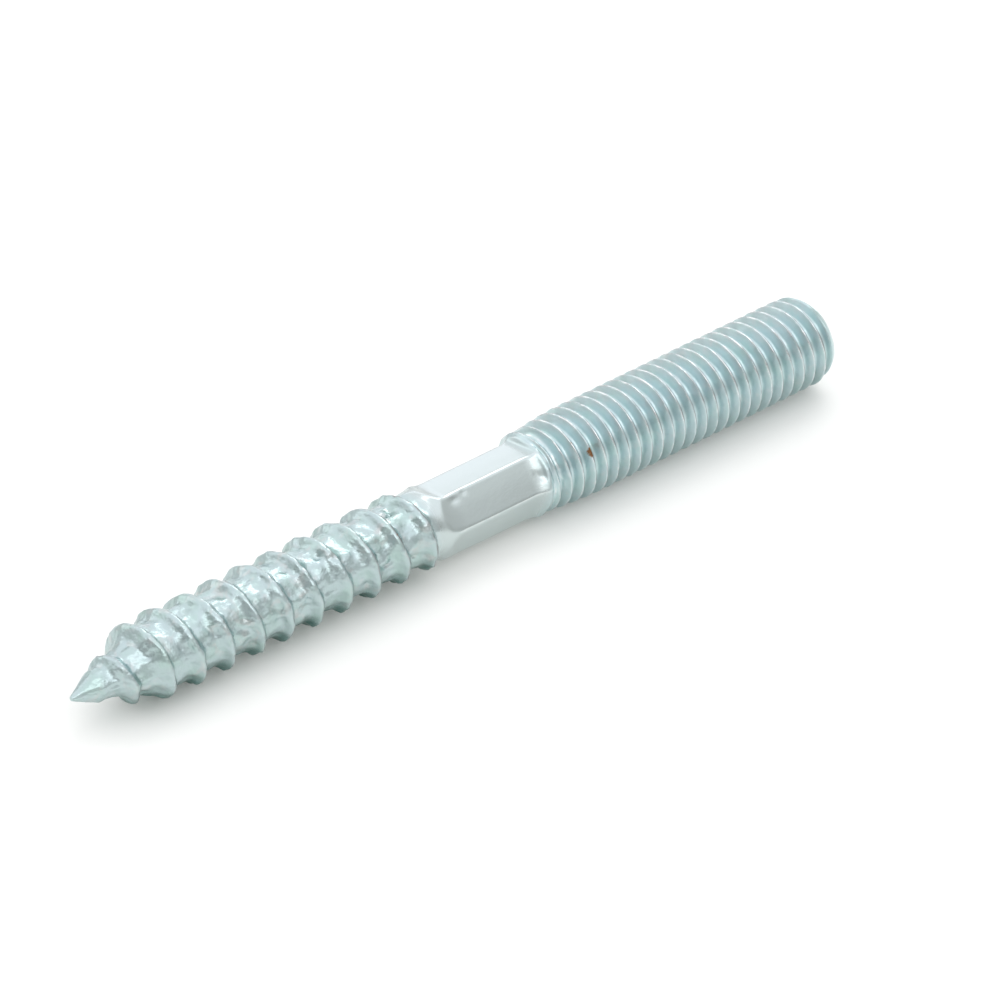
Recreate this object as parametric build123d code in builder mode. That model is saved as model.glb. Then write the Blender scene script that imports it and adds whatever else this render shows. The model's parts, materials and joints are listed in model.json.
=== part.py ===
"""Hanger bolt: a wood screw at one end, a machine thread at the other, a hexagon pressed between.

One piece of steel. Millimetres. The bolt lies along X with its wood point at the -X end. The
origin is the centre of the flat end of the machine thread, which faces +X. The wood thread is cut
as one helical groove; the machine thread is a fine one, and stands here at its outer diameter.
"""

import os
from math import atan, cos, degrees, radians, sin, sqrt, tan

from build123d import *

# Lengths along the bolt
total_length = 80.0  # from the point to the flat end
machine_length = 26.5  # machine thread at its full diameter, end chamfer included
runout_length = 6.0  # machine thread fading out onto the shank
shank_length = 12.0  # bare metal between the two threads
cone_length = 6.7  # the cone of the point, up to the full diameter of the wood thread

# Diameters
machine_diameter = 8.0  # nominal diameter of the machine thread
shank_diameter = 7.3  # rolled blank, at the machine thread
neck_diameter = 6.7  # the same blank, at the wood thread
wood_diameter = 7.25  # over the crests of the wood thread
wood_core_diameter = 6.15  # at the roots of the wood thread
tip_diameter = 0.4  # blunt end of the point

# Chamfer at the flat end
chamfer_length = 1.1
chamfer_depth = 0.65

# Wood thread: a helical groove, with the metal left between its turns as the thread
wood_pitch = 3.05
crest_land = 0.25  # width left on the crest
flank_angle = 38.0  # of each flank, from a plane square to the axis
first_groove = 2.2  # from the tip to where the groove starts on the cone
first_root_diameter = 2.7  # at the root of the groove, where it starts
point_turns = 2  # turns in which the root grows to the full core
fade_length = 2.6  # along which the last groove climbs out onto the neck
fade_angle = 12.0  # at which it climbs

# Hexagon pressed into the shank
flats_count = 6
flats_across = 5.7
flats_length = 8.2
flats_to_runout = 1.6  # from the end of the flats to the machine thread's run-out
flats_turn = 18.0  # about the axis, from +Y to the first flat
scoop_radius = 2.0  # of the curve that lifts each end of a flat out to the round shank

tool_margin = 0.6  # how far a cutting profile stands outside the metal

# Stations along the bolt, from the flat end at x = 0 towards the point
thread_full = -machine_length
thread_start = thread_full - runout_length
wood_end = thread_start - shank_length
tip_end = -total_length
cone_base = tip_end + cone_length
flats_end = thread_start - flats_to_runout
flats_start = flats_end - flats_length

# Root of the groove: widening from the point, straight for whole turns, then climbing out
wood_depth = (wood_diameter - wood_core_diameter) / 2
core_radius = wood_core_diameter / 2
first_root = first_root_diameter / 2
groove_start = tip_end + first_groove
point_run = point_turns * wood_pitch
even_start = groove_start + point_run
even_run = int((wood_end - fade_length - even_start) / wood_pitch) * wood_pitch
fade_start = even_start + even_run
point_angle = degrees(atan((core_radius - first_root) / point_run))

# Section of the groove
flank_slope = tan(radians(flank_angle))
floor_half_width = (wood_pitch - crest_land) / 2 - wood_depth * flank_slope
tool_half_width = wood_pitch / 2 - crest_land / 4  # neighbouring turns of the tool stay apart
flank_height = (tool_half_width - floor_half_width) / flank_slope  # just outside the crest
tool_height = flank_height + tool_margin


def groove_route(start, run, root, cone_angle=0.0):
    """One stretch of helix towards +X, starting above the axis, with the same pitch on a cone."""
    Helix(
        wood_pitch / cos(radians(cone_angle)),
        run,
        root,
        center=(start, 0, 0),
        direction=(1, 0, 0),
        cone_angle=cone_angle,
    )


def radial(angle):
    """Unit vector square to the axis of the bolt, at an angle in degrees from +Y."""
    return Vector(0, cos(radians(angle)), sin(radians(angle)))


with BuildPart() as hanger_bolt:
    # The turned blank, from the tip to the chamfered flat end
    with BuildSketch(Plane.XY):
        with BuildLine():
            Polyline(
                (tip_end, 0),
                (tip_end, tip_diameter / 2),
                (cone_base, wood_diameter / 2),
                (wood_end, wood_diameter / 2),
                (wood_end + wood_depth, neck_diameter / 2),
                (flats_start, neck_diameter / 2),
                (flats_end, shank_diameter / 2),
                (thread_start, shank_diameter / 2),
                (thread_full, machine_diameter / 2),
                (-chamfer_length, machine_diameter / 2),
                (0, machine_diameter / 2 - chamfer_depth),
                (0, 0),
                close=True,
            )
        make_face()
    revolve(axis=Axis.X)

    # The wood thread
    with BuildLine() as route:
        groove_route(groove_start, point_run, first_root, point_angle)
        groove_route(even_start, even_run, core_radius)
        groove_route(fade_start, fade_length, core_radius, fade_angle)
    with BuildSketch(Plane(origin=route.wire() @ 0, x_dir=(0, 0, 1), z_dir=(0, -1, 0))):
        with BuildLine():
            Polyline(
                (tool_height, -tool_half_width),
                (flank_height, -tool_half_width),
                (0, -floor_half_width),
                (0, floor_half_width),
                (flank_height, tool_half_width),
                (tool_height, tool_half_width),
                close=True,
            )
        make_face()
    sweep(path=route.wire(), is_frenet=True, mode=Mode.SUBTRACT)

    # The hexagon: each flat is a straight floor with a scoop at either end
    flat_floor = flats_across / 2
    flat_top = machine_diameter / 2 + tool_margin
    scoop_rise = flat_top - flat_floor
    scoop_run = sqrt(scoop_radius**2 - (scoop_radius - scoop_rise) ** 2)
    for number in range(flats_count):
        along_flat = radial(flats_turn + number * 360 / flats_count - 90)
        with BuildSketch(Plane(origin=(0, 0, 0), x_dir=(1, 0, 0), z_dir=along_flat)):
            with BuildLine():
                Line((flats_start, flat_floor), (flats_end, flat_floor))
                RadiusArc((flats_end, flat_floor), (flats_end + scoop_run, flat_top), -scoop_radius)
                Line((flats_end + scoop_run, flat_top), (flats_start - scoop_run, flat_top))
                RadiusArc((flats_start - scoop_run, flat_top), (flats_start, flat_floor), -scoop_radius)
            make_face()
        extrude(amount=flats_across, both=True, mode=Mode.SUBTRACT)

hanger_bolt.part.label = "hanger_bolt"
os.makedirs("parts", exist_ok=True)
export_step(hanger_bolt.part, "parts/hanger_bolt.step")
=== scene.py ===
"""Looks of the hanger bolt: one finely modelled mesh in place of the plain solid, its plating, a
floor, the lights and the camera. Shapes are worked out in millimetres in the frame of the part:
x runs along the bolt, a station is a place along x, and an angle goes from +Y towards +Z."""

import json

import bmesh
import bpy
import numpy as np
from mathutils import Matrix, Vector


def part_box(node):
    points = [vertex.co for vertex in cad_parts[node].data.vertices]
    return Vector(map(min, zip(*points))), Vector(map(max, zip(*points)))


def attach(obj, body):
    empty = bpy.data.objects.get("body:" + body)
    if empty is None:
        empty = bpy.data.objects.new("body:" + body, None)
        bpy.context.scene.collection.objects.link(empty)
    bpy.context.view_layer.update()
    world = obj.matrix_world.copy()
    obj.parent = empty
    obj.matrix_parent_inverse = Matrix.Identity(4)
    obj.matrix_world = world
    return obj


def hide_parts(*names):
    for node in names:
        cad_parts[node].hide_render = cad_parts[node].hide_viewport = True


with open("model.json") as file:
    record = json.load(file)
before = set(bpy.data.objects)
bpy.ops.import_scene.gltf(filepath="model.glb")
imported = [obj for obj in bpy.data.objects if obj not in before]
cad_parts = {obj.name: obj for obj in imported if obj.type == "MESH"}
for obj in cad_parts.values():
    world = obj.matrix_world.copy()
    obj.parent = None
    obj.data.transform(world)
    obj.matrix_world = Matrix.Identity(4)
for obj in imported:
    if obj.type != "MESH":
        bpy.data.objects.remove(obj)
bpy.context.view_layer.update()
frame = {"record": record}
MM = 0.001

# ---- Sizes taken from the frame ----
low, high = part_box("hanger_bolt")
mounts = {mount["name"]: mount for mount in frame["record"]["mounts"]}
machine_pin = mounts["machine_thread"]
front_flat = mounts["hex_flat_front"]
wood_mount = mounts["wood_thread"]

TIP = low.x / MM
END = high.x / MM
LENGTH = END - TIP
MACHINE_RADIUS = high.y / MM
MACHINE_FULL = machine_pin["pos_m"][0] / MM - machine_pin["dims"]["length_mm"] / 2
WOOD_RADIUS = wood_mount["dims"]["r_mm"]
WOOD_END = wood_mount["pos_m"][0] / MM
FLATS_MIDDLE = front_flat["pos_m"][0] / MM
FLAT_HALF = float(np.hypot(front_flat["pos_m"][1], front_flat["pos_m"][2])) / MM
FLAT_TURN = float(np.arctan2(front_flat["axis"][2], front_flat["axis"][1]))

# ---- Machine thread, M8 x 1.25 ----
MACHINE_PITCH = 1.25
MACHINE_SINK = 0.05  # the crests stand this far inside the plain solid
MACHINE_CREST = MACHINE_RADIUS - MACHINE_SINK
MACHINE_ROOT = 3.21
MACHINE_LAND = 0.05  # half the width of the crest
MACHINE_SLOPE = 1.64  # rise of a flank for each mm along the bolt
MACHINE_FILLET = 0.12  # width over which a flank and the root blend
MACHINE_PHASE = -31.79  # station of a crest, at the angle PHASE_ANGLE
PHASE_ANGLE = np.radians(138.8)

RUNOUT_START = -32.5
RUNOUT_DEEP = -30.7  # where the root has its full depth
RUNOUT_LEAD = 0.4  # the root starts to deepen this far before RUNOUT_START
RUNOUT_SINK = 0.02  # the first crests stand this far under the shank
SHALLOW_SLOPE = 0.3  # share of MACHINE_SLOPE that the first flanks have

# Fine wrinkles where the rolls have run out
WRINKLE_PITCH = 0.42
WRINKLE_DEPTH = 0.10
WRINKLES_FADE_IN = 0.3  # over this much on both sides of RUNOUT_START
WRINKLES_FADE_OUT = 0.6  # over this much on both sides of RUNOUT_DEEP
RIDGE_WIDTH = 0.35  # of the burnished ridge of a wrinkle, whose bottom is at 1
RIDGE_SHINE = 0.9

# The chamfer of the flat end
CHAMFER_LENGTH = 1.1
CHAMFER_DEPTH = 0.65
CHAMFER_SINK = 0.03  # it stands this far inside the plain solid
CHAMFER_BLEND = 0.08
CHAMFER_START = END - CHAMFER_LENGTH
RIM_WIDTH = 0.16  # the burnished rim of the flat end

# The burnished line on the crests, painted brighter on the upper side, and a dark line of painted
# shade beside it
LINE_SHIFT = 0.045  # towards the point
LINE_WIDTH = 0.055
LINE_FADE = (CHAMFER_START - 0.2, CHAMFER_START + 0.4)
SHEEN_ANGLE = np.radians(85)  # painted highlight: the burnished line is strongest on this, the upper side
LEAST_SHEEN = 0.5  # share of the line that shows on the other side
SHEEN_COSINES = (0.05, 0.65)  # between these cosines the line comes up
CREST_SHADE_SHIFT = 0.03  # towards the flat end
CREST_SHADE_WIDTH = 0.035
SHADE_WIDEST_ANGLE = np.radians(144)  # the painted shade is widest on this side
SHADE_WIDEST_SPREAD = np.radians(24)
SHADE_WIDEST_SHIFT = 0.02
SHADE_WIDEST_WIDTH = 0.035

# ---- Wood thread ----
WOOD_PITCH = 3.05
WOOD_CORE = 2.90
WOOD_LAND = 0.10  # half the width of the crest
WOOD_SLOPE = 1.28
TIP_FLANK = 0.86  # the flank that faces the point is gentler by this factor
END_FLANK = 1.1  # and the one that faces the flat end is steeper
FLANK_RISE = 0.08  # the flanks aim this far over the crest, which cuts them off
WOOD_FILLET = 0.25
WOOD_ROUNDING = 0.28  # width over which a flank and the crest blend
WOOD_PHASE = -76.275  # station of a crest, at the angle WOOD_PHASE_ANGLE
WOOD_PHASE_ANGLE = np.radians(90)
WOOD_LAST_ROOT = 3.05  # the last groove is a little shallower
WOOD_LAST_FADE = (WOOD_END - 1.8, WOOD_END + 0.1)
ROUGH_FROM_CREST = (0.1, 0.5)  # the metal gets rough over these distances from a crest
ROUGH_SINK = 0.05  # and lies this much lower there
WOOD_LINE_WIDTH = 0.12
WOOD_LINE_SHINE = 0.12
WOOD_CREST_SHADE_SHIFT = 0.13
WOOD_CREST_SHADE_WIDTH = 0.09
WOOD_CREST_SHADE_LEAST = 0.35  # share of the painted shade that shows towards the point
WOOD_CREST_SHADE_FADE = (WOOD_END - 9, WOOD_END - 5)

# ---- Point, measured from the tip ----
CONE_LENGTH = 6.7
CONE_BLEND = 0.3
TIP_RADIUS = 0.2
LEAST_RADIUS = TIP_RADIUS * 0.6
GROOVE_START = 2.2
GROOVE_FULL = 8.3  # where the root has reached the core
GROOVE_FADE = (GROOVE_START - 0.4, GROOVE_START + 0.6)
CONE_ROOT = 1.3  # radius of the root where the groove starts
TIP_DROP = 0.25  # the point is bent down by this much
TIP_BEND = 5.0  # over this length

# ---- Shank and its pressed hexagon ----
NECK_RADIUS = 3.35
NECK_DIP = 0.25  # the neck is slimmer still where the last groove runs into it
NECK_DIP_FADE = (WOOD_END + 0.7, WOOD_END + 1.7)
SHANK_RADIUS = 3.65
HEX_SIDES = 6
FLATS_LENGTH = 8.2
SCOOP_RADIUS = 3.1
LONG_SCOOP_RADIUS = 7.5  # the scoops at the wood end run out longer
LONG_SCOOP = 2.6  # greatest length of those scoops
LONG_SCOOP_LEAD = 1.1  # and start this far inside the flats
HEX_REACH = 0.9  # the flats towards REACH_ANGLE are longer by this much at both ends
REACH_ANGLE = np.radians(60)
REACH_STEEPER = 0.6  # and the radius of their scoops is smaller by this share
HEX_SHIFT = 0.18  # the hexagon is pressed off centre
HEX_SHIFT_ANGLE = np.radians(228.8)
HEX_TWIST = np.radians(4.5)  # and a little askew
HEX_EDGE = 0.16  # width over which two flats blend
HEX_CROWN = 0.15  # how quickly a flat falls away on both sides of its middle
HEX_FACING = 0.3  # a flat cuts nothing where the cosine from its middle is less
HEX_CLEAR = 2  # height over the blank where nothing is cut
HEX_WEAR = 0.4  # how far the edges between the flats are worn bright
HEX_WEAR_WIDTH = 0.10
HEX_WEAR_REACH = 0.1  # edges higher over the blank than this aren't worn

# ---- Where one part of the bolt gives way to the next ----
TO_SHANK = (WOOD_END - 0.25, WOOD_END + 0.6)
TO_MACHINE = (RUNOUT_START - 0.2, RUNOUT_START + 0.4)
SKIN = 0.01  # nothing comes closer than this to the outside of the plain solid

# ---- Unevenness of the metal: height, size of a lump, and what its seed adds to SEED ----
SEED = 11
MACHINE_WANDER = (0.025, 1.6, 1)
MACHINE_NICKS = (0.035, 0.45, 2)
WOOD_WANDER = (0.13, 1.5, 3)
WOOD_FINE_WANDER = (0.06, 0.6, 4)
WOOD_NICKS = (0.16, 0.9, 5)
WOOD_LUMPS = (0.15, 1.3, 6)
WOOD_FINE_LUMPS = (0.11, 0.7, 7)
WRINKLE_WANDER = (0.5, 1.4, 8)
POINT_LUMPS = (0.05, 1.1, 9)
LATTICE = 32  # cells along each side of the random lattice

# ---- Mesh ----
COLUMNS = 96
TURN_ROWS = 20  # rows in each turn of a thread
CORNER_SPACING = 0.55  # of the columns at a corner, as a share of the even spacing
CREST_SPACING = 0.45  # of the rows at a crest, as a share of the even spacing
MID_ROW = 0.15  # spacing of the rows along the hexagon
WOOD_EXTRA_TURNS = 1.3  # turns of rows before the point, which end up on it
MACHINE_EXTRA_TURNS = 2.3  # turns of rows past the flat end, which end up on it
MACHINE_ROWS_LEAD = 0.9  # the rows of the machine thread start this far before its run-out
ROW_GAP = 0.05  # between them and the last row of the hexagon
SNAP = 0.015  # a point this close to an end is moved onto it
MERGE_DISTANCE = 1e-7  # in metres
LEAST_EDGE = 1e-8  # in metres
SHARP = np.radians(50)
WOOD_FINISH = 0.6  # the finish changes over this much on both sides of WOOD_END
MACHINE_FINISH = (RUNOUT_START - 0.8, RUNOUT_START + 0.6)
MACHINE_LUMPY = 0.22  # how lumpy the machine thread is beside the wood thread


def smooth_min(a, b, width):
    """The lower of a and b, blended where they are closer than width."""
    share = np.clip(0.5 + 0.5 * (b - a) / width, 0, 1)
    return b * (1 - share) + a * share - width * share * (1 - share)


def smooth_max(a, b, width):
    """The higher of a and b, blended in the same way."""
    return -smooth_min(-a, -b, width)


def ramp(value, start, end):
    """0 before start, 1 after end, and an even curve between them."""
    share = np.clip((value - start) / (end - start), 0, 1)
    return share * share * (3 - 2 * share)


def around(value, middle, half):
    """A ramp over half on both sides of middle."""
    return ramp(value, middle - half, middle + half)


def bell(value, width):
    """1 at 0, and an even fall over width on both sides."""
    return np.exp(-((value / width) ** 2))


def eased(count, spacing):
    """Shares from 0 to 1 that lie closer together at both ends, by the factor spacing."""
    even = np.arange(count) / count
    return even - (1 - spacing) * np.sin(2 * np.pi * even) / (2 * np.pi)


def lumps(points, height, size, seed):
    """Smooth noise from -height to height at points, on a random lattice whose cells have that
    size in mm."""
    table = np.random.default_rng(SEED + seed).uniform(-1, 1, (LATTICE, LATTICE, LATTICE))
    place = points / size
    cell = np.floor(place).astype(int)
    part = place - cell
    part = part * part * (3 - 2 * part)
    total = np.zeros(points.shape[:-1])
    for corner in np.ndindex(2, 2, 2):
        weight = np.prod(np.where(np.array(corner) == 1, part, 1 - part), axis=-1)
        i, j, k = np.moveaxis((cell + corner) % LATTICE, -1, 0)
        total += weight * table[i, j, k]
    return height * total


# ---- The pressed hexagon ----
def flat_lines():
    """Direction and distance from the axis of each of the six flats."""
    normals = FLAT_TURN + HEX_TWIST + np.arange(HEX_SIDES) * 2 * np.pi / HEX_SIDES
    return normals, FLAT_HALF + HEX_SHIFT * np.cos(HEX_SHIFT_ANGLE - normals)


def column_angles():
    """Angles of the columns of the mesh: one runs along each corner, the others lie between."""
    normals, levels = flat_lines()
    turn = 2 * np.pi / HEX_SIDES
    along = (np.roll(levels, -1) - levels * np.cos(turn)) / np.sin(turn)
    corners = normals + np.arctan2(along, levels)
    gaps = np.append(corners[1:], corners[0] + 2 * np.pi) - corners
    shares = eased(COLUMNS // HEX_SIDES, CORNER_SPACING)
    return (corners[:, None] + gaps[:, None] * shares).ravel()


# ---- Where a point stands on each thread ----
def off_crest(x, angle, phase, phase_angle, pitch):
    """Distance along the bolt from the nearest crest of a right-hand thread, signed."""
    turns = (x - phase) / pitch - (angle - phase_angle) / (2 * np.pi)
    return (turns - np.round(turns)) * pitch


# ---- The radius of the bolt everywhere ----
def machine_radius(x, angle, points):
    """The machine thread with its run-out and its chamfered end, its burnished line, painted
    brighter on the upper side, and the painted shade beside its crests.
    """
    signed = off_crest(x, angle, MACHINE_PHASE, PHASE_ANGLE, MACHINE_PITCH)
    signed = signed + lumps(points, *MACHINE_WANDER)
    first_crest = SHANK_RADIUS - RUNOUT_SINK
    crest = first_crest + (MACHINE_CREST - first_crest) * ramp(x, RUNOUT_START, MACHINE_FULL)
    crest = crest - np.abs(lumps(points, *MACHINE_NICKS))
    depth = ramp(x, RUNOUT_START - RUNOUT_LEAD, RUNOUT_DEEP)
    root = crest - (MACHINE_CREST - MACHINE_ROOT) * depth
    slope = MACHINE_SLOPE * (SHALLOW_SLOPE + (1 - SHALLOW_SLOPE) * depth)
    flank = crest - np.clip(np.abs(signed) - MACHINE_LAND, 0, None) * slope
    thread = smooth_max(flank, root, MACHINE_FILLET)

    rolled_out = around(x, RUNOUT_START, WRINKLES_FADE_IN)
    rolled_out = rolled_out * (1 - around(x, RUNOUT_DEEP, WRINKLES_FADE_OUT))
    wrinkles = signed / WRINKLE_PITCH + lumps(points, *WRINKLE_WANDER)
    from_ridge = np.abs(np.sin(np.pi * wrinkles))
    thread = thread - rolled_out * WRINKLE_DEPTH * from_ridge

    shown = ramp(x, RUNOUT_START, RUNOUT_DEEP) * (1 - ramp(x, *LINE_FADE))
    # Painted highlight: the burnished line is made stronger on the upper side of the bolt
    sheen = ramp(np.cos(angle - SHEEN_ANGLE), *SHEEN_COSINES)
    sheen = LEAST_SHEEN + (1 - LEAST_SHEEN) * sheen
    line = bell(signed + LINE_SHIFT, LINE_WIDTH) * shown * sheen
    line = np.maximum(line, RIDGE_SHINE * rolled_out * bell(from_ridge, RIDGE_WIDTH))
    line = np.maximum(line, bell(END - x - RIM_WIDTH, RIM_WIDTH))
    # Painted shade: a dark line beside each crest, towards the flat end, widest on one side
    widest_shade = bell(angle - SHADE_WIDEST_ANGLE, SHADE_WIDEST_SPREAD)
    from_crest_shade = signed - CREST_SHADE_SHIFT - SHADE_WIDEST_SHIFT * widest_shade
    crest_shade = bell(from_crest_shade, CREST_SHADE_WIDTH + SHADE_WIDEST_WIDTH * widest_shade) * shown

    chamfer = MACHINE_RADIUS - CHAMFER_DEPTH + (END - x) * CHAMFER_DEPTH / CHAMFER_LENGTH
    return smooth_min(thread, chamfer - CHAMFER_SINK, CHAMFER_BLEND), line, crest_shade


def wood_radius(x, angle, points):
    """The wood thread from the point to its run-out, its burnished line and the painted shade beside
    its crests.
    """
    from_tip = x - TIP
    wander = lumps(points, *WOOD_WANDER) + lumps(points, *WOOD_FINE_WANDER)
    off = off_crest(x, angle, WOOD_PHASE, WOOD_PHASE_ANGLE, WOOD_PITCH) + wander
    cone = TIP_RADIUS + (WOOD_RADIUS - TIP_RADIUS) * from_tip / CONE_LENGTH
    crest = smooth_min(cone, np.full_like(cone, WOOD_RADIUS), CONE_BLEND)
    size = np.clip(crest / WOOD_RADIUS, 0, 1)
    crest = crest - np.abs(lumps(points, *WOOD_NICKS)) * size
    root = CONE_ROOT + (WOOD_CORE - CONE_ROOT) * ramp(from_tip, GROOVE_START, GROOVE_FULL)
    root = root + (WOOD_LAST_ROOT - WOOD_CORE) * ramp(x, *WOOD_LAST_FADE)
    slope = WOOD_SLOPE * np.where(off > 0, END_FLANK, TIP_FLANK)
    flank = crest + FLANK_RISE - np.clip(np.abs(off) - WOOD_LAND, 0, None) * slope
    thread = smooth_min(smooth_max(flank, root, WOOD_FILLET), crest, WOOD_ROUNDING)
    rough = lumps(points, *WOOD_LUMPS) + lumps(points, *WOOD_FINE_LUMPS) - ROUGH_SINK
    rough = rough * size * ramp(np.abs(off), *ROUGH_FROM_CREST)
    thread = np.minimum(thread + rough, crest)

    started = ramp(from_tip, *GROOVE_FADE)
    point = np.minimum(cone, crest) + lumps(points, *POINT_LUMPS) * size
    radius = np.minimum(point * (1 - started) + thread * started, WOOD_RADIUS)

    line = bell(off, WOOD_LINE_WIDTH) * started
    # Painted shade: a dark line on the side of each crest that faces the flat end, stronger towards
    # the shank
    crest_shade_share = WOOD_CREST_SHADE_LEAST + (1 - WOOD_CREST_SHADE_LEAST) * ramp(x, *WOOD_CREST_SHADE_FADE)
    crest_shade = bell(off - WOOD_CREST_SHADE_SHIFT, WOOD_CREST_SHADE_WIDTH) * started * crest_shade_share
    return radius, line, crest_shade


def scoop(radius, past):
    """How far a scoop of that radius has lifted out, past its start."""
    return radius - np.sqrt(radius**2 - past**2)


def shank_radius(x, angle):
    """The round blank between the threads, with six flats pressed into it a little off centre, and
    the wear on the edges between them."""
    first, last = FLATS_MIDDLE - FLATS_LENGTH / 2, FLATS_MIDDLE + FLATS_LENGTH / 2
    blank = NECK_RADIUS + (SHANK_RADIUS - NECK_RADIUS) * ramp(x, first, last)
    blank = blank - NECK_DIP * (1 - ramp(x, *NECK_DIP_FADE))
    uncut = blank + HEX_CLEAR
    radius, lowest, second = blank, uncut, uncut
    for normal, distance in zip(*flat_lines()):
        side = max(np.cos(normal - REACH_ANGLE), 0)
        reach = HEX_REACH * side
        end_radius = SCOOP_RADIUS * (1 - REACH_STEEPER * side)
        long_radius = LONG_SCOOP_RADIUS * (1 - REACH_STEEPER * side)
        past = np.clip(x - last - reach, 0, end_radius)
        before = np.clip(first + LONG_SCOOP_LEAD - reach - x, 0, LONG_SCOOP)
        level = distance + scoop(end_radius, past) + scoop(long_radius, before)
        facing = np.cos(angle - normal)
        fall = HEX_CROWN * np.sin(angle - normal) ** 2
        flat = level / np.clip(facing, HEX_FACING, 1) - fall
        flat = np.where(facing > HEX_FACING, flat, uncut)
        second = np.minimum(second, np.maximum(lowest, flat))
        lowest = np.minimum(lowest, flat)
        radius = smooth_min(radius, flat, HEX_EDGE)
    worn = HEX_WEAR * bell(second - lowest, HEX_WEAR_WIDTH) * (second < blank + HEX_WEAR_REACH)
    return radius, worn


# Dents: station, angle in degrees, length along the bolt and round it, depth
DENTS = (
    (-47.5, 96, 0.50, 0.22, 0.40),
    (-46.8, 86, 0.45, 0.25, 0.36),
    (-48.2, 108, 0.20, 0.30, 0.22),
    (-45.9, 78, 0.25, 0.25, 0.20),
    (-51.2, 86, 0.16, 0.40, 0.34),
    (-50.6, 99, 0.40, 0.16, 0.18),
    (-54.6, 126, 0.35, 0.30, 0.28),
    (-58.7, 105, 0.35, 0.20, 0.24),
    (-55.5, 112, 0.30, 0.20, 0.18),
    (-58.0, 163, 0.22, 0.55, 0.22),
    (-61.3, 108, 0.30, 0.30, 0.22),
    (-66.3, 122, 0.35, 0.35, 0.18),
    (-46.9, 186, 0.45, 0.20, 0.26),
    (-32.9, 153, 0.38, 0.28, 0.13),
    (-33.3, 146, 0.20, 0.20, 0.07),
    (-41.7, 126, 0.45, 0.20, 0.11),
    (-40.5, 121, 0.25, 0.18, 0.08),
)
# A lap of metal, folded over in a ring: station, angle in degrees, radius, width, depth
LAP = (-49.8, 163, 0.72, 0.17, 0.20)
LAP_DEEP = 0.7  # share of its depth that the ring has all round
LAP_SIDE = 0.3  # share that is added on one side and missing on the other


def turned(angle, degrees):
    """How far an angle lies past one in degrees, from half a turn before to half a turn after."""
    return np.angle(np.exp(1j * (angle - np.radians(degrees))))


def dents(x, angle, radius):
    """How far the damage pushes the surface in."""
    total = np.zeros_like(x)
    for station, degrees, along, across, depth in DENTS:
        turn = turned(angle, degrees)
        total += depth * np.exp(-(((x - station) / along) ** 2) - (turn * radius / across) ** 2)
    station, degrees, ring, width, depth = LAP
    turn = turned(angle, degrees)
    away = np.hypot(x - station, turn * radius)
    total += depth * bell(away - ring, width) * (LAP_DEEP + LAP_SIDE * np.sign(turn))
    return total


def bolt_radius(x, angle):
    """Radius, burnished line and painted crest shade for every point of the mesh."""
    points = np.stack([x, MACHINE_RADIUS * np.cos(angle), MACHINE_RADIUS * np.sin(angle)], -1)
    wood, wood_line, wood_crest_shade = wood_radius(x, angle, points)
    machine, machine_line, machine_crest_shade = machine_radius(x, angle, points)
    shank, hex_worn = shank_radius(x, angle)
    to_shank, to_machine = ramp(x, *TO_SHANK), ramp(x, *TO_MACHINE)
    radius = wood * (1 - to_shank) + shank * to_shank
    radius = radius * (1 - to_machine) + np.minimum(machine, MACHINE_CREST) * to_machine
    radius = np.clip(radius - dents(x, angle, radius), LEAST_RADIUS, MACHINE_RADIUS - SKIN)
    line = WOOD_LINE_SHINE * wood_line * (1 - to_shank) + machine_line * to_machine
    line = line + hex_worn * to_shank * (1 - to_machine)
    crest_shade = wood_crest_shade * (1 - to_shank) + machine_crest_shade * to_machine
    return radius, line, crest_shade


# ---- The mesh: rows that run along the threads, so that crests stay crisp ----
def crest_station(phase, phase_angle, pitch):
    """Station of a crest on the first column of the mesh."""
    return phase + pitch * (column_angles()[0] - phase_angle) / (2 * np.pi)


def thread_rows(first, last, station, pitch):
    """Stations of rows for whole turns of a thread, closer together at its crests."""
    turns = np.arange(np.floor((first - station) / pitch), np.ceil((last - station) / pitch) + 1)
    rows = (station + pitch * (turns[:, None] + eased(TURN_ROWS, CREST_SPACING))).ravel()
    return rows[(rows >= first) & (rows <= last)]


def row_stations():
    """Stations of all the rows on the first column, from before the point to past the flat end."""
    wood_station = crest_station(WOOD_PHASE, WOOD_PHASE_ANGLE, WOOD_PITCH)
    machine_station = crest_station(MACHINE_PHASE, PHASE_ANGLE, MACHINE_PITCH)
    wood_first = TIP - WOOD_EXTRA_TURNS * WOOD_PITCH
    machine_first = RUNOUT_START - MACHINE_ROWS_LEAD
    machine_last = END + MACHINE_EXTRA_TURNS * MACHINE_PITCH
    wood = thread_rows(wood_first, WOOD_END + WOOD_PITCH, wood_station, WOOD_PITCH)
    middle = np.arange(wood[-1] + MID_ROW, machine_first, MID_ROW)
    machine = thread_rows(machine_first + ROW_GAP, machine_last, machine_station, MACHINE_PITCH)
    return np.concatenate([wood, middle, machine])


def strip_faces(rows):
    """Faces of a strip that winds round the bolt: the last column of each row is joined to the
    first column one turn further on."""
    faces = []
    for row in range(rows - 1):
        for column in range(COLUMNS):
            a, b = row * COLUMNS + column, (row + 1) * COLUMNS + column
            if column < COLUMNS - 1:
                faces.append((a, b, b + 1, a + 1))
            elif row + TURN_ROWS + 1 < rows:
                wrap = (row + TURN_ROWS) * COLUMNS
                faces.append((a, b, wrap + COLUMNS, wrap))
    return faces


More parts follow.
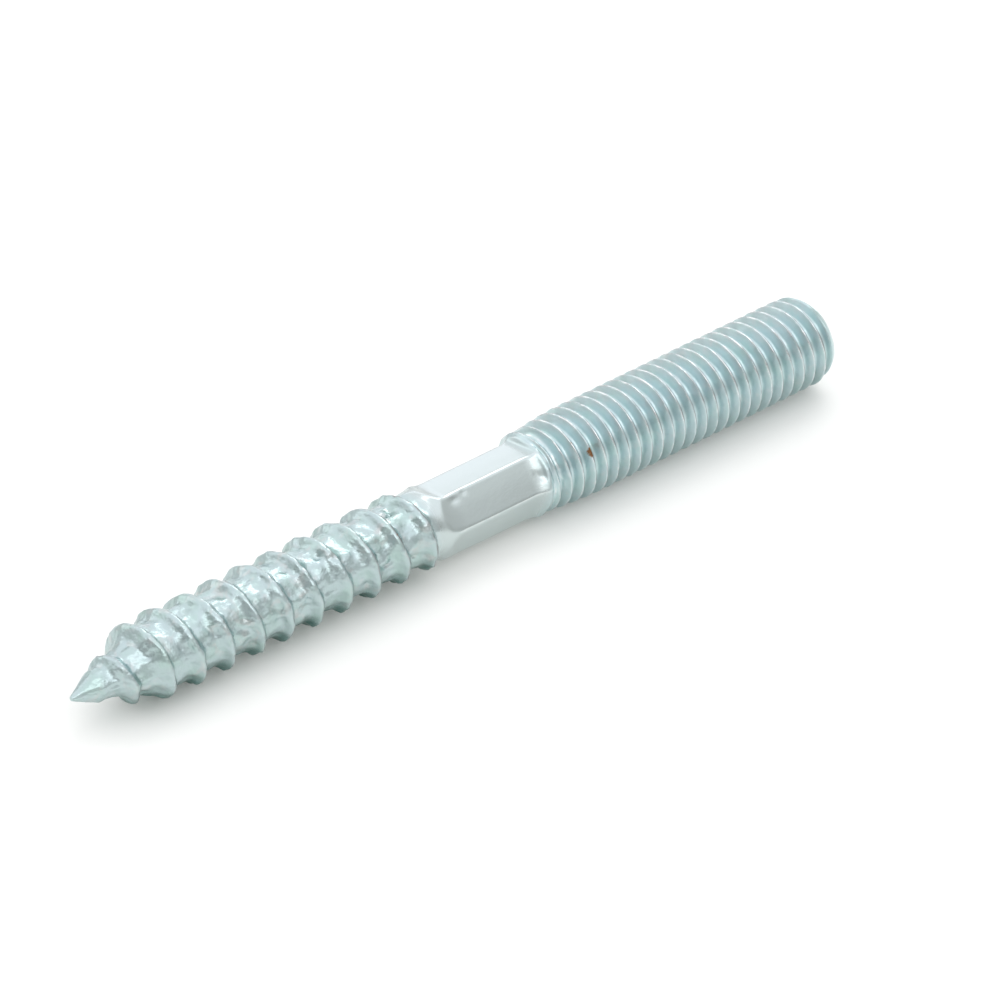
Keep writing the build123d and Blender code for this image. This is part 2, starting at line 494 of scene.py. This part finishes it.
def close_mesh(mesh):
    """Merge the rows that lie on each other at the ends of the bolt, and close both ends."""
    bm = bmesh.new()
    bm.from_mesh(mesh)
    bmesh.ops.remove_doubles(bm, verts=bm.verts, dist=MERGE_DISTANCE)
    bmesh.ops.dissolve_degenerate(bm, edges=bm.edges, dist=LEAST_EDGE)
    loose = [vert for vert in bm.verts if not vert.link_faces]
    bmesh.ops.delete(bm, geom=loose, context="VERTS")
    ends = [edge for edge in bm.edges if edge.is_boundary]
    bmesh.ops.holes_fill(bm, edges=ends, sides=0)
    bmesh.ops.recalc_face_normals(bm, faces=bm.faces)
    bm.to_mesh(mesh)
    bm.free()


def bolt_mesh():
    """The whole bolt as one closed mesh, with the layers that its plating reads."""
    stations = row_stations()
    columns = column_angles()
    share = (columns - columns[0]) / (2 * np.pi)
    x = stations[:-TURN_ROWS, None] * (1 - share) + stations[TURN_ROWS:, None] * share
    x = np.where(x < TIP + SNAP, TIP, np.where(x > END - SNAP, END, x))
    angle = np.broadcast_to(columns, x.shape)
    radius, line, crest_shade = bolt_radius(x, angle)
    drop = TIP_DROP * ramp(-x, -(TIP + TIP_BEND), -TIP)
    y = radius * np.cos(angle)
    z = radius * np.sin(angle) - drop

    mesh = bpy.data.meshes.new("bolt")
    points = np.stack([x, y, z], -1).reshape(-1, 3) * MM
    mesh.from_pydata([tuple(point) for point in points], [], strip_faces(len(x)))
    on_wood = 1 - around(x, WOOD_END, WOOD_FINISH)
    on_machine = ramp(x, *MACHINE_FINISH)
    layers = {
        "crest": line,
        "crest_shade": crest_shade,
        "rolled": on_wood + on_machine,
        "lumpy": on_wood + MACHINE_LUMPY * on_machine,
    }
    for name, values in layers.items():
        layer = mesh.attributes.new(name, "FLOAT", "POINT")
        layer.data.foreach_set("value", values.reshape(-1).astype(np.float32))
    close_mesh(mesh)
    mesh.shade_smooth()
    mesh.set_sharp_from_angle(angle=SHARP)
    return mesh


# ---- Shader nodes ----
def feed(tree, value, socket):
    """Link a socket to another one, or set it to a number or a colour."""
    if hasattr(value, "links"):
        tree.links.new(value, socket)
    elif isinstance(value, tuple):
        socket.default_value = (*value, 1)
    else:
        socket.default_value = value


def node(tree, kind, **values):
    """A shader node with its inputs fed by name."""
    made = tree.nodes.new(kind)
    for name, value in values.items():
        feed(tree, value, made.inputs[name.replace("_", " ")])
    return made


def combine(tree, operation, first, second):
    """The result of an operation on two sockets or numbers."""
    made = tree.nodes.new("ShaderNodeMath")
    made.operation = operation
    feed(tree, first, made.inputs[0])
    feed(tree, second, made.inputs[1])
    return made.outputs[0]


def spread(tree, socket, low_end, high_end, low_value, high_value):
    """A socket's range carried over to another one."""
    made = node(
        tree, "ShaderNodeMapRange", Value=socket,
        From_Min=low_end, From_Max=high_end, To_Min=low_value, To_Max=high_value,
    )
    return made.outputs["Result"]


def noise(tree, place, **values):
    """Noise at a place."""
    return node(tree, "ShaderNodeTexNoise", Vector=place, **values).outputs["Fac"]


def bump(tree, height, **values):
    """The direction of a surface with a height laid over it."""
    return node(tree, "ShaderNodeBump", Height=height, **values).outputs["Normal"]


def attribute(tree, name):
    """The value of a layer of the mesh."""
    made = tree.nodes.new("ShaderNodeAttribute")
    made.attribute_name = name
    return made.outputs["Fac"]


def colour_ramp(tree, factor, stops):
    """A colour ramp over (position, colour) stops."""
    made = node(tree, "ShaderNodeValToRGB", Fac=factor)
    elements = made.color_ramp.elements
    while len(elements) < len(stops):
        elements.new(0.5)
    for element, (position, colour) in zip(elements, stops):
        element.position = position
        element.color = (*colour, 1)
    return made.outputs["Color"]


def mix(tree, factor, first, second):
    """A mix of two colours."""
    made = tree.nodes.new("ShaderNodeMix")
    made.data_type = "RGBA"
    for socket, value in ((0, factor), (6, first), (7, second)):
        feed(tree, value, made.inputs[socket])
    return made.outputs[2]


def shaded(tree, colour, factor):
    """A colour made lighter or darker by a factor."""
    made = tree.nodes.new("ShaderNodeVectorMath")
    made.operation = "SCALE"
    feed(tree, colour, made.inputs[0])
    feed(tree, factor, made.inputs["Scale"])
    return made.outputs[0]


# ---- Plating: zinc with a pale blue passivation ----
TEAL = (0.465, 0.605, 0.58)
BLUE = (0.50, 0.61, 0.62)
STEEL_BLUE = (0.47, 0.60, 0.645)
GREY = (0.565, 0.64, 0.635)
WARM = (0.62, 0.62, 0.61)
# Colour of the painted shade beside the crests
CREST_SHADE = (0.20, 0.17, 0.17)
SILVER = (0.84, 0.86, 0.86)
# The dark teal of the painted shade in enclosed places
PAINTED_SHADE = (0.08, 0.20, 0.178)
UNSHADED = (1.0, 1.0, 1.0)  # no painted shade, as a colour
RUST = (0.27, 0.14, 0.07)

# Noise in the plating
PATCHES = {"Scale": 420.0, "Detail": 4.0, "Roughness": 0.55}
TINT = {"Scale": 900.0, "Detail": 2.0, "Roughness": 0.5, "Distortion": 0.6}
KNOBS = {"Scale": 1300.0, "Detail": 2.0, "Roughness": 0.45}
GRAIN = {"Scale": 5200.0, "Detail": 5.0, "Roughness": 0.65}
WOBBLE = {"Scale": 3200.0, "Detail": 2.0}
PATCH_STOPS = ((0.34, TEAL), (0.52, BLUE), (0.68, TEAL))

# Ranges: the low and high end of a socket, and the values that they are carried over to
WARM_TINT = (0.55, 0.75, 0.0, 0.6)
STEEL_TINT = (MACHINE_LUMPY, 1.0, 0.32, 0.0)
SHADE = (MACHINE_LUMPY, 1.0, 1.11, 0.98)
UNSHADED_RANGE = (0.34, 0.60, 0.0, 1.0)
BROKEN_LINE = (0.38, 0.62, 0.12, 0.95)
CREST_SHADE_RANGE = (0.40, 0.60, 0.90, 0.30)
RAGGED_EDGE = (0.3, 0.7, -0.00016, 0.00016)
ROUGHNESS = (0.0, 1.0, 0.27, 0.35)

# Painted shade: reach and samples of the occlusion test that darkens enclosed places
PAINTED_SHADE_REACH = 0.004  # in metres
PAINTED_SHADE_SAMPLES = 8
LUMPY_POLISH = 0.01  # lumpy metal is smoother by this much
LINE_POLISH = 0.18  # and a burnished line by this much

# Heights are laid over each other, with Distance in metres
FINE_BUMP = {"Strength": 0.25, "Distance": 0.00003}
MIDDLING_BUMP = {"Strength": 1.0, "Distance": 0.00013}
SOFT_BUMP = {"Strength": 0.35, "Distance": 0.00005}

# Rust specks: station, angle in degrees, radius and strength
SPECKS = (
    (-28.05, 150.4, 0.52, 1.0),
    (-29.25, 128, 0.20, 0.5),
    (-48.25, 136, 0.16, 0.6),
)
SPECK_CORE = 0.6  # share of its radius out to which a speck is at its strongest


def rusted(tree, base, place):
    """A base colour with the rust specks over it, ragged at their edges."""
    ragged = spread(tree, noise(tree, place, **WOBBLE), *RAGGED_EDGE)
    for station, degrees, size, strength in SPECKS:
        turn = np.radians(degrees)
        radius = MACHINE_CREST if station > RUNOUT_START else WOOD_RADIUS
        y, z = radius * np.cos(turn) * MM, radius * np.sin(turn) * MM
        gap = tree.nodes.new("ShaderNodeVectorMath")
        gap.operation = "DISTANCE"
        gap.inputs[1].default_value = (station * MM, y, z)
        feed(tree, place, gap.inputs[0])
        away = combine(tree, "ADD", gap.outputs["Value"], ragged)
        spot = spread(tree, away, size * MM, size * MM * SPECK_CORE, 0.0, strength)
        base = mix(tree, spot, base, RUST)
    return base


def plating():
    """The plating: matt and lumpy on the rolled threads, smoother on the shank."""
    made = bpy.data.materials.new("zinc_plating")
    made.use_nodes = True
    tree = made.node_tree
    tree.nodes.clear()
    place = tree.nodes.new("ShaderNodeTexCoord").outputs["Object"]
    patches = noise(tree, place, **PATCHES)
    tint = noise(tree, place, **TINT)
    knobs = noise(tree, place, **KNOBS)
    grain = noise(tree, place, **GRAIN)
    rolled, lumpy = attribute(tree, "rolled"), attribute(tree, "lumpy")

    # Patches of teal, blue and warmer metal on the threads, and grey metal on the shank
    base = colour_ramp(tree, patches, PATCH_STOPS)
    base = mix(tree, spread(tree, tint, *WARM_TINT), base, WARM)
    base = mix(tree, spread(tree, lumpy, *STEEL_TINT), base, STEEL_BLUE)
    base = shaded(tree, base, spread(tree, lumpy, *SHADE))
    base = mix(tree, rolled, GREY, base)

    # Painted shade: places that the bolt itself or the floor close under it enclose are darkened
    # towards a dark teal, fully on the wood thread and a little on the machine thread
    occlusion = node(tree, "ShaderNodeAmbientOcclusion", Distance=PAINTED_SHADE_REACH)
    occlusion.samples = PAINTED_SHADE_SAMPLES
    unshaded = spread(tree, occlusion.outputs["AO"], *UNSHADED_RANGE)
    unshaded = mix(tree, lumpy, UNSHADED, unshaded)
    base = mix(tree, unshaded, PAINTED_SHADE, base)

    # A burnished line along the crests, with a dark line of painted shade beside it
    line = combine(tree, "MULTIPLY", attribute(tree, "crest"), spread(tree, knobs, *BROKEN_LINE))
    base = mix(tree, line, base, SILVER)
    shade_beside_crest = combine(tree, "MULTIPLY", attribute(tree, "crest_shade"), spread(tree, tint, *CREST_SHADE_RANGE))
    base = mix(tree, shade_beside_crest, base, CREST_SHADE)
    base = rusted(tree, base, place)

    # Crystals of the plating, lumps on the rolled metal, and broad unevenness
    fine = bump(tree, grain, **FINE_BUMP)
    lumpy_height = combine(tree, "MULTIPLY", knobs, lumpy)
    middling = bump(tree, lumpy_height, Normal=fine, **MIDDLING_BUMP)
    soft = bump(tree, patches, Normal=middling, **SOFT_BUMP)

    roughness = spread(tree, rolled, *ROUGHNESS)
    for layer, polish in ((lumpy, LUMPY_POLISH), (line, LINE_POLISH)):
        polished = combine(tree, "MULTIPLY", layer, polish)
        roughness = combine(tree, "SUBTRACT", roughness, polished)
    surface = node(
        tree, "ShaderNodeBsdfPrincipled", Metallic=1.0,
        Base_Color=base, Roughness=roughness, Normal=soft,
    )
    node(tree, "ShaderNodeOutputMaterial", Surface=surface.outputs["BSDF"])
    return made


# ---- Floor paint ----
CLOUD_SCALE = 30.0
CLOUD_STOPS = ((0.3, (0.82, 0.825, 0.80)), (0.7, (0.83, 0.835, 0.81)))
PAINT_ROUGHNESS = 0.6
PAINT_SPECULAR = 0.2
PAINT_GLOW = (0.99, 1.0, 0.97)
PAINT_GLOW_STRENGTH = 0.12


def floor_paint():
    """The top of a light table: matt white, with a trace of unevenness and a faint glow."""
    made = bpy.data.materials.new("floor_paint")
    made.use_nodes = True
    tree = made.node_tree
    surface = tree.nodes["Principled BSDF"]
    clouds = node(tree, "ShaderNodeTexNoise", Scale=CLOUD_SCALE)
    feed(tree, colour_ramp(tree, clouds.outputs["Fac"], CLOUD_STOPS), surface.inputs["Base Color"])
    surface.inputs["Roughness"].default_value = PAINT_ROUGHNESS
    surface.inputs["Specular IOR Level"].default_value = PAINT_SPECULAR
    surface.inputs["Emission Color"].default_value = (*PAINT_GLOW, 1)
    surface.inputs["Emission Strength"].default_value = PAINT_GLOW_STRENGTH
    return made


# ---- The bolt ----
bolt = bpy.data.objects.new("bolt", bolt_mesh())
bpy.context.collection.objects.link(bolt)
bolt.data.materials.append(plating())
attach(bolt, "root")
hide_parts("hanger_bolt")

# ---- Floor ----
FLOOR_SIZE = 30 * LENGTH * MM
HALF_FLOOR = FLOOR_SIZE / 2
REST_CLEAR = 0.02  # the crests all but touch the floor
# The bolt bears on the first full turn of the machine thread and at the base of its cone
CONE_BASE = TIP + CONE_LENGTH
FLOOR_TILT = (MACHINE_CREST - WOOD_RADIUS) / (CONE_BASE - MACHINE_FULL)


def floor_height(x):
    """Height of the floor under a place, both in metres."""
    return (FLOOR_TILT * (x / MM - MACHINE_FULL) - MACHINE_CREST - REST_CLEAR) * MM


corners = [
    (side_x * HALF_FLOOR, side_y * HALF_FLOOR, floor_height(side_x * HALF_FLOOR))
    for side_x, side_y in ((-1, -1), (1, -1), (1, 1), (-1, 1))
]
floor_mesh = bpy.data.meshes.new("floor")
floor_mesh.from_pydata(corners, [], [(0, 1, 2, 3)])
floor = bpy.data.objects.new("floor", floor_mesh)
bpy.context.collection.objects.link(floor)
floor.data.materials.append(floor_paint())

# ---- Light ----
LIGHT_DISTANCE = 0.6  # in metres
CENTRE = Vector(((TIP + END) / 2 * MM, 0, 0))
WHITE = (1, 1, 1)
# Soft lights: name, azimuth and elevation, the angles filled across and upwards, the brightness
# beside a white floor, and the colour
LIGHTS = (
    ("back_light", 143, 17, 44, 20, 0.86, (0.985, 0.955, 1.04)),
    ("top_light", 114, 49, 24, 24, 2.0, WHITE),
    ("left_light", -152, 26, 36, 20, 0.7, WHITE),
    ("window_light", 48, 44, 20, 12, 0.06, (0.86, 1.0, 0.99)),
    ("front_light", -28, 42, 60, 18, 1.1, WHITE),
)
# The sky: 0 is straight down, 0.5 is the horizon and 1 is the zenith
SKY_STOPS = (
    (0.50, (0.44,) * 3),
    (0.68, (0.54,) * 3),
    (0.76, (0.76,) * 3),
    (0.84, (0.93, 0.92, 0.96)),
    (1.0, (0.97, 0.97, 1.0)),
)
SKY_STRENGTH = 1.28
# Darker parts of the room: azimuth, elevation, the angles over which each fades, and its depth
DARK_PARTS = ((36, 14, 17, 6, 0.30), (-65, 15, 27, 9, 0.65))
DARK = (0.12, 0.12, 0.12)


def towards(azimuth, elevation):
    """The direction at an azimuth and an elevation, in degrees."""
    turn, lift = np.radians(azimuth), np.radians(elevation)
    return Vector((np.sin(turn) * np.cos(lift), -np.cos(turn) * np.cos(lift), np.sin(lift)))


def filling(degrees):
    """Width of a light that fills an angle at LIGHT_DISTANCE."""
    return 2 * LIGHT_DISTANCE * np.tan(np.radians(degrees / 2))


def softbox(name, azimuth, elevation, across, upwards, strength, colour):
    """A rectangular soft light that looks at the middle of the bolt."""
    light = bpy.data.lights.new(name, "AREA")
    light.shape = "RECTANGLE"
    light.size = filling(across)
    light.size_y = filling(upwards)
    light.energy = strength * np.pi * light.size * light.size_y
    light.color = colour
    lamp = bpy.data.objects.new(name, light)
    back = towards(azimuth, elevation)
    lamp.location = CENTRE + back * LIGHT_DISTANCE
    lamp.rotation_euler = back.to_track_quat("Z", "Y").to_euler()
    bpy.context.collection.objects.link(lamp)


def sky():
    """A pale sky that gets lighter towards the zenith, with darker parts of a room in it."""
    made = bpy.data.worlds.new("sky")
    made.use_nodes = True
    tree = made.node_tree
    direction = tree.nodes.new("ShaderNodeTexCoord").outputs["Generated"]
    split = node(tree, "ShaderNodeSeparateXYZ", Vector=direction)
    colour = colour_ramp(tree, spread(tree, split.outputs["Z"], -1, 1, 0, 1), SKY_STOPS)
    for azimuth, elevation, outer, inner, depth in DARK_PARTS:
        toward = tree.nodes.new("ShaderNodeVectorMath")
        toward.operation = "DOT_PRODUCT"
        toward.inputs[1].default_value = towards(azimuth, elevation)
        feed(tree, direction, toward.inputs[0])
        edges = np.cos(np.radians(outer)), np.cos(np.radians(inner))
        dark = spread(tree, toward.outputs["Value"], *edges, 0.0, depth)
        colour = mix(tree, dark, colour, DARK)
    background = tree.nodes["Background"]
    feed(tree, colour, background.inputs["Color"])
    background.inputs["Strength"].default_value = SKY_STRENGTH
    return made


for values in LIGHTS:
    softbox(*values)
bpy.context.scene.world = sky()

# ---- Camera ----
VIEW_AZIMUTH = -41.87
VIEW_ELEVATION = 33.19
VIEW_DISTANCE = 6.7146 * LENGTH * MM
AIM_FROM_END = 0.45463 * LENGTH * MM
AIM_ASIDE = -0.01869 * LENGTH * MM
AIM = Vector((END * MM - AIM_FROM_END, AIM_ASIDE, 0))
SENSOR_WIDTH = 36
FOCAL_LENGTH = 236.9
CLIP_START = 0.01
camera_data = bpy.data.cameras.new("camera")
camera_data.sensor_width = SENSOR_WIDTH
camera_data.lens = FOCAL_LENGTH
camera_data.clip_start = CLIP_START
camera = bpy.data.objects.new("camera", camera_data)
view_back = towards(VIEW_AZIMUTH, VIEW_ELEVATION)
camera.location = AIM + view_back * VIEW_DISTANCE
camera.rotation_euler = view_back.to_track_quat("Z", "Y").to_euler()
bpy.context.collection.objects.link(camera)
bpy.context.scene.camera = camera
bpy.context.scene.view_settings.view_transform = "Standard"
